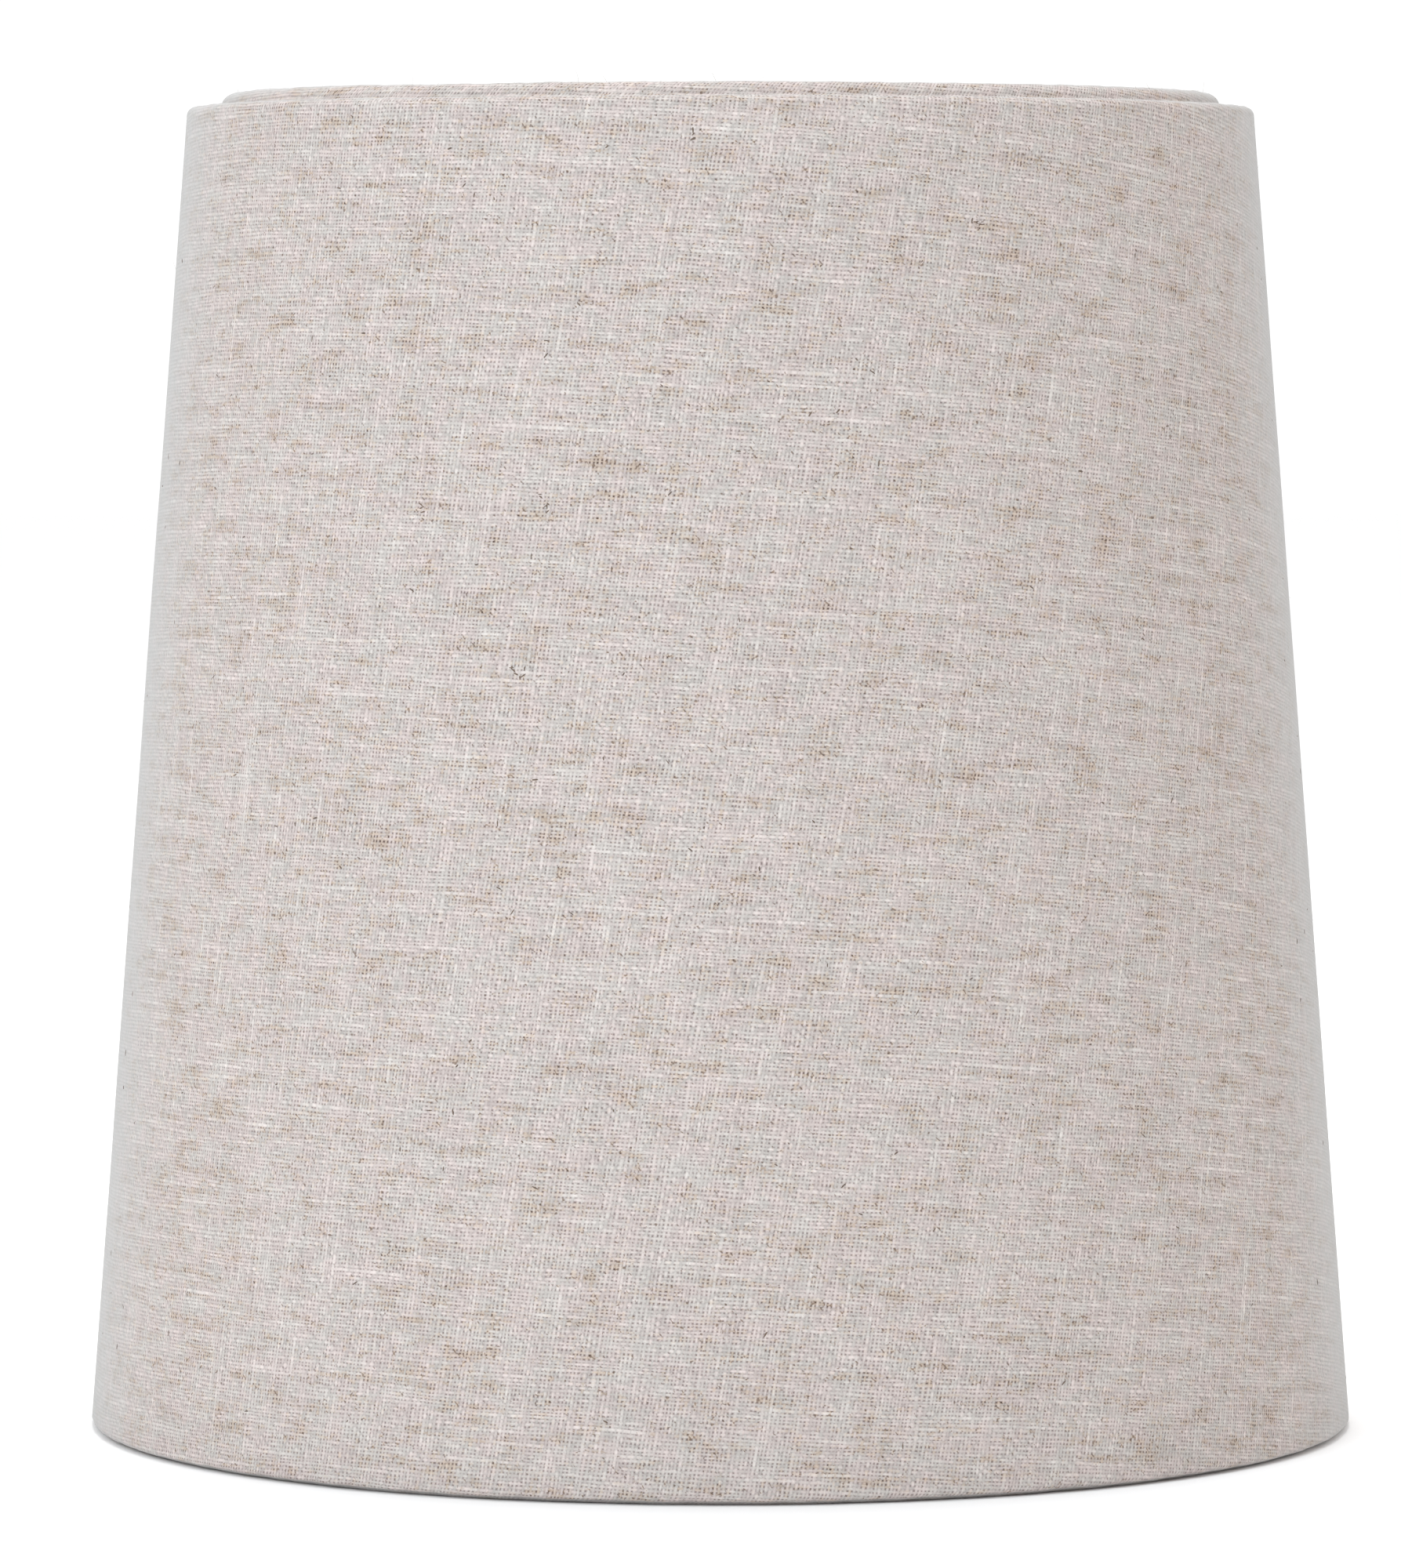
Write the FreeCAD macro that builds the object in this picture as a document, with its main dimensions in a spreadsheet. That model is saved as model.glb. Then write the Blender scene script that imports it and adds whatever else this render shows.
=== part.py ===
import FreeCAD, Part
import math
import os

import Sketcher

# A hardback lamp shade: linen laminated to a stiff backing sheet, rolled over a wire ring
# at each rim, with three bent wires that carry the fitter ring for the lampholder.
# Origin: centre of the bottom rim, on the surface it stands on. +Z is up, the front is -Y.
# Millimetres.

doc = FreeCAD.newDocument("lamp_shade")

SIZES = [
    ("bottom_radius", 100.0, "outer face of the linen at the bottom"),
    ("top_radius", 84.1, "outer face of the linen at the top"),
    ("height", 208.4, "up to the shoulder of the linen"),
    ("cloth", 0.55, "thickness of the linen"),
    ("board", 0.4, "thickness of the backing sheet"),
    ("tape", 0.15, "thickness of the adhesive tapes"),
    ("wire", 1.5, "radius of the ring wires"),
    ("top_ring_radius", 76.6, "centre line of the top ring"),
    ("hem", 10.0, "height of the linen turned in at each rim"),
    ("shoulder", 1.3, "rounding of the linen at the top"),
    ("foot", 1.2, "rounding of the linen at the bottom"),
    ("lap_angle", 7.0, "width of the back seam's lap, in degrees round the shade"),
    ("lap_rise", 0.95, "how far the lap stands out from the linen"),
    ("seam_tape_angle", 5.5, "width of the seam tape, in degrees"),
    ("seam_end", 3.0, "distance of the lap from each rim"),
    ("spoke_wire", 1.25, "radius of the spokes"),
    ("spoke_slit", 1.9, "radius of the slits in the linen round the spokes"),
    ("spoke_level_run", 9.6, "straight stretch of a spoke beside the ring"),
    ("spoke_foot", 7.0, "from the fitter's edge to the lower bend of a spoke"),
    ("spoke_bend", 7.0, "centre line radius of the bends"),
    ("spoke_sunk", 0.2, "how deep the weld sets a spoke into the fitter"),
    ("fitter_outer", 29.0, "outer radius of the fitter ring"),
    ("fitter_hole", 21.0, "radius of the hole for the lampholder"),
    ("fitter_plate", 1.5, "thickness of the fitter ring"),
    ("fitter_drop", 30.0, "from the shoulder down to the fitter ring's top face"),
    ("fitter_edge", 0.3, "rounding of the fitter ring's edges"),
]

sheet = doc.addObject("Spreadsheet::Sheet", "Sizes")
for row, (alias, value, meaning) in enumerate(SIZES, start=1):
    sheet.set(f"A{row}", alias)
    sheet.set(f"B{row}", str(value))
    sheet.set(f"C{row}", meaning)
    sheet.setAlias(f"B{row}", alias)
doc.recompute()

SPOKES = 3
FIRST_SPOKE = 90
ALMOST = 1e-4

# Expressions that more than one piece uses.
SHELL = "(Sizes.cloth + Sizes.board)"
SANDWICH = "(2 * Sizes.cloth + Sizes.board)"
TAPED_WIRE = "(Sizes.wire + Sizes.tape)"
ROLL = "(Sizes.wire + Sizes.tape + Sizes.cloth)"
FITTER_TOP = "(Sizes.height - Sizes.fitter_drop)"


def wall(level, inset="0"):
    """Expression for the radius of the sloping wall at a level, some way in from the linen's face."""
    slope = "(Sizes.bottom_radius - Sizes.top_radius) / Sizes.height"
    return f"Sizes.bottom_radius - ({level}) * {slope} - ({inset})"


BOTTOM_RING_RADIUS = wall(ROLL, f"{SHELL} + 1.01 * {TAPED_WIRE}")


def size(expression):
    """Value of an expression on the sheet."""
    return float(sheet.evalExpression(expression.replace("Sizes.", "")))


def bind(piece, **expressions):
    """Ties properties of a piece to the sheet."""
    for name, expression in expressions.items():
        piece.setExpression(name.replace("__", "."), expression)
    return piece


def primitive(kind, name, **expressions):
    return bind(doc.addObject(kind, name), **expressions)


def joined(kind, name, pieces):
    """Boolean of several pieces: a MultiFuse, or a Cut of the first by the second."""
    result = doc.addObject(kind, name)
    if kind == "Part::Cut":
        result.Base, result.Tool = pieces
    else:
        result.Shapes = pieces
    return result


def origin_plane(body, role):
    return next(plane for plane in body.Origin.OriginFeatures if plane.Role == role)


def new_sketch(body, name, role):
    sketch = body.newObject("Sketcher::SketchObject", name)
    sketch.AttachmentSupport = (origin_plane(body, role), [""])
    sketch.MapMode = "FlatFace"
    return sketch


def pin(sketch, geometry, end, across, up):
    """Holds one point of a sketch at (across, up), both expressions on the sheet."""
    for kind, expression in (("DistanceX", across), ("DistanceY", up)):
        if expression == "0":
            axis = -1 if kind == "DistanceY" else -2
            sketch.addConstraint(Sketcher.Constraint("PointOnObject", geometry, end, axis))
            continue
        number = sketch.addConstraint(
            Sketcher.Constraint(kind, -1, 1, geometry, end, size(expression)))
        sketch.setExpression(f"Constraints[{number}]", expression)


def outline(body, name, corners):
    """Closed outline with straight sides in the half plane of (radius, height)."""
    sketch = new_sketch(body, name, "XZ_Plane")
    points = [FreeCAD.Vector(size(across), size(up), 0) for across, up in corners]
    count = len(points)
    for number in range(count):
        side = Part.LineSegment(points[number], points[(number + 1) % count])
        sketch.addGeometry(side, False)
    for number in range(count):
        after = (number + 1) % count
        sketch.addConstraint(Sketcher.Constraint("Coincident", number, 2, after, 1))
    for number, (across, up) in enumerate(corners):
        pin(sketch, number, 1, across, up)
    return sketch


def revolved(body, name, corners):
    profile = outline(body, f"{name}_section", corners)
    turn = body.newObject("PartDesign::Revolution", name)
    turn.Profile = profile
    turn.ReferenceAxis = (profile, ["V_Axis"])
    turn.Angle = 360.0
    profile.Visibility = False
    doc.recompute()
    return turn


def rim_edge(feature, radius, level):
    """Name of the round edge of a feature at a radius and a height."""
    for number, edge in enumerate(feature.Shape.Edges, start=1):
        curve = edge.Curve
        if not isinstance(curve, Part.Circle):
            continue
        if abs(curve.Radius - size(radius)) < ALMOST and abs(curve.Center.z - size(level)) < ALMOST:
            return f"Edge{number}"
    raise ValueError(f"no edge of {feature.Name} at {radius}, {level}")


def rounded(body, name, base, radius, edges):
    fillet = body.newObject("PartDesign::Fillet", name)
    fillet.Base = (base, [rim_edge(base, *edge) for edge in edges])
    fillet.setExpression("Radius", radius)
    doc.recompute()
    return fillet


def torus(name, ring_radius, thickness, level):
    return primitive("Part::Torus", name, Radius1=ring_radius, Radius2=thickness,
                     Placement__Base__z=level)


def cone_sector(name, inset, angle, ends):
    """Slice of a solid cone behind the shade, parallel to the wall, centred on +Y."""
    top = f"Sizes.height - {ends}"
    sector = primitive("Part::Cone", name, Radius1=wall(ends, inset), Radius2=wall(top, inset),
                       Height=f"Sizes.height - 2 * {ends}", Angle=angle, Placement__Base__z=ends)
    sector.Placement.Rotation = FreeCAD.Rotation(FreeCAD.Vector(0, 0, 1), 0)
    sector.setExpression("Placement.Rotation.Angle", f"90 - ({angle}) / 2")
    return sector


def make_backing():
    """Stiff sheet under the linen, turned in at the top as a lip that ends at the rolled ring."""
    body = doc.addObject("PartDesign::Body", "Backing")
    lip_top = "Sizes.height - Sizes.cloth"
    lip_under = f"Sizes.height - {SHELL}"
    lip_end = f"Sizes.top_ring_radius + {ROLL}"
    sheet_turn = revolved(body, "board", [
        (wall("Sizes.foot", "Sizes.cloth"), "Sizes.foot"),
        (wall(lip_top, "Sizes.cloth"), lip_top),
        (lip_end, lip_top),
        (lip_end, lip_under),
        (wall(lip_under, SHELL), lip_under),
        (wall("Sizes.foot", SHELL), "Sizes.foot"),
    ])
    outer = rounded(body, "outer_shoulder", sheet_turn, "Sizes.shoulder - Sizes.cloth",
                    [(wall(lip_top, "Sizes.cloth"), lip_top)])
    rounded(body, "inner_shoulder", outer, f"Sizes.shoulder - {SHELL}",
            [(wall(lip_under, SHELL), lip_under)])
    return body


def make_cover_envelope():
    """Outside of the linen, filled in behind it wherever it is turned over a rim."""
    body = doc.addObject("PartDesign::Body", "CoverEnvelope")
    lip_under = f"Sizes.height - {SANDWICH}"
    hem_top = "Sizes.height - Sizes.hem"
    turn = revolved(body, "cloth_wall", [
        (wall("0"), "0"),
        (wall("Sizes.height"), "Sizes.height"),
        ("Sizes.top_ring_radius", "Sizes.height"),
        ("Sizes.top_ring_radius", lip_under),
        (wall(lip_under, SANDWICH), lip_under),
        (wall(hem_top, SANDWICH), hem_top),
        (wall(hem_top, "Sizes.cloth"), hem_top),
        (wall("Sizes.hem", "Sizes.cloth"), "Sizes.hem"),
        (wall("Sizes.hem", SANDWICH), "Sizes.hem"),
        (wall("0", SANDWICH), "0"),
    ])
    top = rounded(body, "top_corner", turn, "Sizes.shoulder", [("Sizes.top_radius", "Sizes.height")])
    rounded(body, "bottom_corner", top, "Sizes.foot", [("Sizes.bottom_radius", "0")])
    return body


def make_ring(name, ring_radius, level):
    """A wire ring, and the adhesive tape wound round it."""
    ring = torus(name, ring_radius, "Sizes.wire", level)
    taped = torus(f"{name}_taped", ring_radius, TAPED_WIRE, level)
    return ring, taped


def make_fitter():
    """Flat ring that the lampholder clamps."""
    body = doc.addObject("PartDesign::Body", "Fitter")
    under = f"{FITTER_TOP} - Sizes.fitter_plate"
    turn = revolved(body, "plate", [
        ("Sizes.fitter_hole", under),
        ("Sizes.fitter_outer", under),
        ("Sizes.fitter_outer", FITTER_TOP),
        ("Sizes.fitter_hole", FITTER_TOP),
    ])
    rounded(body, "plate_edges", turn, "Sizes.fitter_edge",
            [("Sizes.fitter_outer", under), ("Sizes.fitter_outer", FITTER_TOP)])
    return body


def bend_points(before, corner, after, radius):
    """Centre and two ends of the arc that rounds a corner."""
    inward = (before - corner).normalize()
    outward = (after - corner).normalize()
    half = inward.getAngle(outward) / 2
    reach = radius / math.tan(half)
    middle = (inward + outward).normalize()
    return corner + middle * (radius / math.sin(half)), corner + inward * reach, corner + outward * reach


def spoke_path(body):
    """Centre line of a spoke: level at the ring, sloping down, then level on the fitter."""
    sketch = new_sketch(body, "spoke_path", "XZ_Plane")
    lower = f"{FITTER_TOP} + Sizes.spoke_wire - Sizes.spoke_sunk"
    corners = [
        ("Sizes.top_ring_radius", "Sizes.height"),
        ("Sizes.top_ring_radius - Sizes.spoke_level_run", "Sizes.height"),
        ("Sizes.fitter_outer + Sizes.spoke_foot", lower),
        ("(Sizes.fitter_outer + Sizes.fitter_hole) / 2", lower),
    ]
    points = [FreeCAD.Vector(size(across), size(up), 0) for across, up in corners]
    radius = size("Sizes.spoke_bend")
    guides = []
    for number in range(3):
        guide = Part.LineSegment(points[number], points[number + 1])
        guides.append(sketch.addGeometry(guide, True))
        pin(sketch, guides[-1], 1, *corners[number])
    pin(sketch, guides[-1], 2, *corners[-1])
    bends = [bend_points(*points[number:number + 3], radius) for number in range(2)]
    starts = [points[0], bends[0][2], bends[1][2]]
    ends = [bends[0][1], bends[1][1], points[3]]
    runs = []
    for number in range(3):
        runs.append(sketch.addGeometry(Part.LineSegment(starts[number], ends[number]), False))
    sketch.addConstraint(Sketcher.Constraint("Coincident", runs[0], 1, guides[0], 1))
    sketch.addConstraint(Sketcher.Constraint("Coincident", runs[2], 2, guides[2], 2))
    sketch.addConstraint(Sketcher.Constraint("PointOnObject", runs[0], 2, guides[0]))
    sketch.addConstraint(Sketcher.Constraint("PointOnObject", runs[1], 1, guides[1]))
    sketch.addConstraint(Sketcher.Constraint("PointOnObject", runs[1], 2, guides[1]))
    sketch.addConstraint(Sketcher.Constraint("PointOnObject", runs[2], 1, guides[2]))
    for number, (centre, first, last) in enumerate(bends):
        middle = centre + ((first + last) / 2 - centre).normalize() * radius
        arc = sketch.addGeometry(Part.Arc(first, middle, last), False)
        start_point = sketch.getPoint(arc, 1)
        first_end, last_end = (1, 2) if start_point.isEqual(first, ALMOST) else (2, 1)
        sketch.addConstraint(Sketcher.Constraint("Tangent", runs[number], 2, arc, first_end))
        sketch.addConstraint(Sketcher.Constraint("Tangent", arc, last_end, runs[number + 1], 1))
        limit = sketch.addConstraint(Sketcher.Constraint("Radius", arc, radius))
        sketch.setExpression(f"Constraints[{limit}]", "Sizes.spoke_bend")
    return sketch


def make_spoke(number):
    """Bent wire, turned to its own place round the shade."""
    body = doc.addObject("PartDesign::Body", f"SpokeWire{number}")
    path = spoke_path(body)
    section = new_sketch(body, "spoke_section", "YZ_Plane")
    section.setExpression("AttachmentOffset.Base.z", "Sizes.top_ring_radius")
    centre = FreeCAD.Vector(0, size("Sizes.height"), 0)
    circle = Part.Circle(centre, FreeCAD.Vector(0, 0, 1), size("Sizes.spoke_wire"))
    section.addGeometry(circle, False)
    pin(section, 0, 3, "0", "Sizes.height")
    limit = section.addConstraint(Sketcher.Constraint("Radius", 0, size("Sizes.spoke_wire")))
    section.setExpression(f"Constraints[{limit}]", "Sizes.spoke_wire")
    doc.recompute()
    pipe = body.newObject("PartDesign::AdditivePipe", "bent_wire")
    pipe.Profile = section
    pipe.Spine = path
    turn = FIRST_SPOKE + number * 360 / SPOKES
    body.Placement = FreeCAD.Placement(FreeCAD.Vector(), FreeCAD.Rotation(FreeCAD.Vector(0, 0, 1), turn))
    doc.recompute()
    return body


def make_slit(number):
    """Space for one spoke through the linen and the tape on the inner side of the ring."""
    slit = primitive("Part::Cylinder", f"Slit{number}", Radius="Sizes.spoke_slit",
                     Height="Sizes.spoke_level_run", Placement__Base__z="Sizes.height")
    turn = math.radians(FIRST_SPOKE + number * 360 / SPOKES)
    inward = FreeCAD.Vector(-math.cos(turn), -math.sin(turn), 0)
    slit.Placement.Rotation = FreeCAD.Rotation(FreeCAD.Vector(0, 0, 1), inward)
    slit.setExpression("Placement.Base.x", f"-Sizes.top_ring_radius * ({inward.x:.9f})")
    slit.setExpression("Placement.Base.y", f"-Sizes.top_ring_radius * ({inward.y:.9f})")
    return slit


backing = make_backing()
top_ring, top_taped = make_ring("TopRing", "Sizes.top_ring_radius", "Sizes.height")
bottom_ring, bottom_taped = make_ring("BottomRing", BOTTOM_RING_RADIUS, ROLL)
fitter = make_fitter()

welded_to = joined("Part::MultiFuse", "WeldedTo", [top_ring, fitter])
spokes = []
for number in range(SPOKES):
    spokes.append(joined("Part::Cut", f"Spoke{number + 1}", [make_spoke(number), welded_to]))
slits = [make_slit(number) for number in range(SPOKES)]

top_tape = joined("Part::Cut", "TopTape",
                  [top_taped, joined("Part::MultiFuse", "TopTapeRoom", [top_ring] + slits)])
bottom_tape = joined("Part::Cut", "BottomTape", [bottom_taped, bottom_ring])

seam_tape = joined("Part::Cut", "SeamTape", [
    cone_sector("SeamTapeOuter", "-Sizes.tape", "Sizes.seam_tape_angle", "Sizes.seam_end"),
    cone_sector("SeamTapeInner", "0", "Sizes.lap_angle", "Sizes.seam_end"),
])
lap = joined("Part::Cut", "Lap", [
    cone_sector("LapOuter", "-Sizes.lap_rise", "Sizes.lap_angle", "Sizes.seam_end"),
    cone_sector("LapInner", "Sizes.cloth / 2", "2 * Sizes.lap_angle", "Sizes.seam_end"),
])

cover_solid = joined("Part::MultiFuse", "CoverSolid", [
    make_cover_envelope(),
    torus("TopRoll", "Sizes.top_ring_radius", ROLL, "Sizes.height"),
    torus("BottomRoll", BOTTOM_RING_RADIUS, ROLL, ROLL),
    lap,
])
cover_room = joined("Part::MultiFuse", "CoverRoom",
                    [backing, top_taped, bottom_taped, seam_tape] + slits)
cover = joined("Part::Cut", "Cover", [cover_solid, cover_room])

subparts = {
    "linen_cover": cover,
    "backing": backing,
    "seam_tape": seam_tape,
    "top_ring": top_ring,
    "bottom_ring": bottom_ring,
    "top_ring_tape": top_tape,
    "bottom_ring_tape": bottom_tape,
    "fitter_ring": fitter,
}
for number, spoke in enumerate(spokes, start=1):
    subparts[f"spoke_{number}"] = spoke
for label, piece in subparts.items():
    piece.Label = label

doc.recompute()

for thing in doc.Objects:
    if "Invalid" in thing.State or "Error" in thing.State:
        raise RuntimeError(f"{thing.Name} failed: {thing.State}")
for label, piece in subparts.items():
    if piece.Shape.isNull() or not piece.Shape.isValid():
        raise RuntimeError(f"{label} has no valid shape")

os.makedirs("parts", exist_ok=True)
for label, piece in subparts.items():
    piece.Shape.exportStep(f"parts/{label}.step")
    solids = len(piece.Shape.Solids)
    box = piece.Shape.BoundBox
    print(f"{label:18s} solids {solids}  volume {piece.Shape.Volume:10.1f}  "
          f"z {box.ZMin:7.2f} to {box.ZMax:7.2f}  x {box.XMin:7.2f} to {box.XMax:7.2f}")
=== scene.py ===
"""A tapered drum lamp shade: coarse natural linen on a stiff white backing, rolled over wire rings."""

import math
import random
from types import SimpleNamespace

import bmesh
import bpy
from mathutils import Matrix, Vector, noise


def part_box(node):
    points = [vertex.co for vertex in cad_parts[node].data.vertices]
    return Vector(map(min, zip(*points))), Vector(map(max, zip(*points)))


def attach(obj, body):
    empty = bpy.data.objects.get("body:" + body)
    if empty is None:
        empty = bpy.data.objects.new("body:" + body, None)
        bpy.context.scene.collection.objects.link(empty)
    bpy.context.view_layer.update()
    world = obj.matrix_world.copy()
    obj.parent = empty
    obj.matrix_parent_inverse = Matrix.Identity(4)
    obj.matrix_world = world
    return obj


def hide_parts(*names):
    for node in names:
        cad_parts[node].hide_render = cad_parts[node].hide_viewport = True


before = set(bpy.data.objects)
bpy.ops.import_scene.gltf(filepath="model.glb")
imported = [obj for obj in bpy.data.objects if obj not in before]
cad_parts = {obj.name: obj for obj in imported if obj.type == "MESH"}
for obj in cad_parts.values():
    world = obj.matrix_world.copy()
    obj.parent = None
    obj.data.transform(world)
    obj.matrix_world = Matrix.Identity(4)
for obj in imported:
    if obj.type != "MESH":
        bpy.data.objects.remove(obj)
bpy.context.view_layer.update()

MM = 0.001

# ---------------------------------------------------------------- sizes, from the CAD frame

cover_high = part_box("linen_cover")[1]
backing_low, backing_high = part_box("backing")
top_ring_low, top_ring_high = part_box("top_ring")
top_tape_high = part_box("top_ring_tape")[1]
bottom_ring_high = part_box("bottom_ring")[1]
fitter_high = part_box("fitter_ring")[1]
spoke_low, spoke_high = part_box("spoke_1")

BOTTOM_RADIUS = 100 * MM
TOP_RADIUS = 84.1 * MM
BOARD = 0.4 * MM
HEM = 10 * MM
SHOULDER = 1.3 * MM
FOOT = backing_low.z
FOOT_CORNER = 0.9 * MM
FOOT_GAP = 0.6 * MM
WIRE = (top_ring_high.z - top_ring_low.z) / 2
CLOTH = cover_high.z - top_tape_high.z
ROLL = cover_high.z - (top_ring_high.z + top_ring_low.z) / 2
HEIGHT = backing_high.z + CLOTH
TOP_RING = Vector((top_ring_high.x - WIRE, top_ring_high.z - WIRE))
BOTTOM_RING = Vector((bottom_ring_high.x - WIRE, bottom_ring_high.z - WIRE))
SANDWICH = 2 * CLOTH + BOARD
TAPER = (BOTTOM_RADIUS - TOP_RADIUS) / HEIGHT
SLANT = math.sqrt(1 + TAPER ** 2)
LEAN = math.atan(TAPER)
CONE = math.sin(LEAN)

# The sheet starts and ends behind the shade, where its end laps over its start.
BACK = math.radians(90)
LAP = 12 * MM / BOTTOM_RADIUS
JOGGLE = 7 * MM / BOTTOM_RADIUS
LAP_LIFT = 1.1 * MM
LAP_EDGE = 1.3 * MM / BOTTOM_RADIUS
WHOLE_TURN = math.tau + LAP
COVER_STEPS = 400
BACKING_STEPS = 360
# Cloth added to the cone's flat pattern for the rolls and the hems.
FRAYED_ENDS = 230
STRAY_FIBRES = 260
FLAX_NUBS = 420
NUBS_IN_CLUSTER = 7
# The largest clusters of dark flax, as degrees round the shade and millimetres up it.
NUB_CLUSTERS = [(267, 202.5), (297, 189), (240, 147), (250.5, 123), (253, 148)]
SPOKE_ANGLES = [math.radians(90 + 120 * number) for number in range(3)]
SLIT_WIDTH = 3.4 * MM
SLIT_HEIGHT = 3.6 * MM


def wall(level, inset=0.0):
    """Radius of the sloping wall at a level, some way in from the face of the linen."""
    return BOTTOM_RADIUS - level * TAPER - inset


def smooth(low, high, value):
    """0 below low, 1 above high, and an easy curve between."""
    part = min(max((value - low) / (high - low), 0.0), 1.0)
    return part * part * (3 - 2 * part)


def arc(centre, radius, start, end, steps):
    """Points of an arc in the (radius, height) plane, angles in degrees from straight outwards."""
    angles = [math.radians(start + (end - start) * step / steps) for step in range(steps + 1)]
    return [centre + Vector((math.cos(a), math.sin(a))) * radius for a in angles]


def run(start, end, steps):
    """Evenly spaced points of a straight stretch, without its two ends."""
    return [start.lerp(end, step / steps) for step in range(1, steps)]


# ---------------------------------------------------------------- the linen

def cover_line():
    """The linen's outer face in section, from the raw edge inside the top to the one inside the foot."""
    lean = math.degrees(LEAN)
    lip_under = HEIGHT - SANDWICH
    hem_edge = HEIGHT - HEM
    shoulder = Vector((wall(HEIGHT - SHOULDER) - SHOULDER * SLANT, HEIGHT - SHOULDER))
    corner_level = FOOT_GAP + FOOT_CORNER
    corner = Vector((wall(corner_level) - FOOT_CORNER * SLANT, corner_level))
    hem_foot = Vector((wall(hem_edge, SANDWICH), hem_edge))
    hem_top = Vector((wall(lip_under - 0.6 * MM, SANDWICH), lip_under - 0.6 * MM))
    under_lip = Vector((wall(lip_under, SANDWICH) - 0.6 * MM, lip_under))
    roll_foot = arc(TOP_RING, ROLL, -52, -352, 34)
    valley = Vector((roll_foot[-1].x + 0.35 * MM, HEIGHT + 0.08 * MM))
    rise = Vector((valley.x + 1.2 * MM, HEIGHT))
    shoulder_arc = arc(shoulder, SHOULDER, 96, lean, 8)
    foot_arc = arc(corner, FOOT_CORNER, lean, -84, 8)
    inner_roll = arc(BOTTOM_RING, ROLL, -56, -296, 22)
    inner_hem = [Vector((wall(level * MM, SANDWICH), level * MM)) for level in (5.4, 6.2, 7.4, 8.8)]
    inner_hem.append(Vector((wall(HEM, SANDWICH), HEM)))
    return (
        [hem_foot] + run(hem_foot, hem_top, 4) + [hem_top, under_lip]
        + run(under_lip, roll_foot[0], 3) + roll_foot
        + [valley, rise] + run(rise, shoulder_arc[0], 3) + shoulder_arc
        + run(shoulder_arc[-1], foot_arc[0], 30) + foot_arc
        + inner_roll + inner_hem
    )


def backing_line():
    """The backing sheet's outer face in section, from the end of its lip to its foot."""
    lean = math.degrees(LEAN)
    radius = SHOULDER - CLOTH
    shoulder = Vector((wall(HEIGHT - SHOULDER) - SHOULDER * SLANT, HEIGHT - SHOULDER))
    lip_end = Vector((TOP_RING.x + ROLL + 0.5 * MM, HEIGHT - CLOTH - 0.45 * MM))
    turn = arc(shoulder, radius, 94, lean, 6)
    foot = Vector((wall(FOOT, CLOTH), FOOT))
    return [lip_end] + run(lip_end, turn[0], 3) + turn + run(turn[-1], foot, 40) + [foot]


def line_normals(line):
    """Outward direction at each point of a section line that runs downwards outside the wall."""
    normals = []
    for number in range(len(line)):
        before = line[max(number - 1, 0)]
        after = line[min(number + 1, len(line) - 1)]
        along = (after - before).normalized()
        normals.append(Vector((-along.y, along.x)))
    return normals


def lap_lift(turn):
    """How far the sheet stands out where its end passes over its start."""
    over = LAP_LIFT * smooth(math.tau - JOGGLE, math.tau, turn)
    edge = smooth(WHOLE_TURN - LAP_EDGE, WHOLE_TURN, turn) ** 2
    return over - 0.75 * LAP_LIFT * edge


def unevenness(azimuth, level, size, seed):
    """Slow wander of a hand-rolled surface, in metres, the same all the way round."""
    place = Vector((math.cos(azimuth), math.sin(azimuth), level / BOTTOM_RADIUS)) / size
    return noise.noise(place + Vector((seed, seed, seed)))


def cloth_relief(azimuth, level):
    """The linen's own ups and downs: lively on the rolled rims, faint on the laminated wall."""
    on_rim = max(smooth(HEIGHT - 3 * MM, HEIGHT - 0.5 * MM, level), smooth(2.5 * MM, 0.6 * MM, level))
    long_wave = unevenness(azimuth, level, 0.22, 3.0)
    short_wave = unevenness(azimuth, level, 0.035, 11.0)
    yarn_wave = unevenness(azimuth, level, 0.012, 23.0)
    rim = 0.10 * long_wave + 0.10 * short_wave + 0.06 * yarn_wave
    plain = 0.06 * long_wave + 0.015 * yarn_wave
    return MM * (plain + on_rim * (rim - plain))


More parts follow.
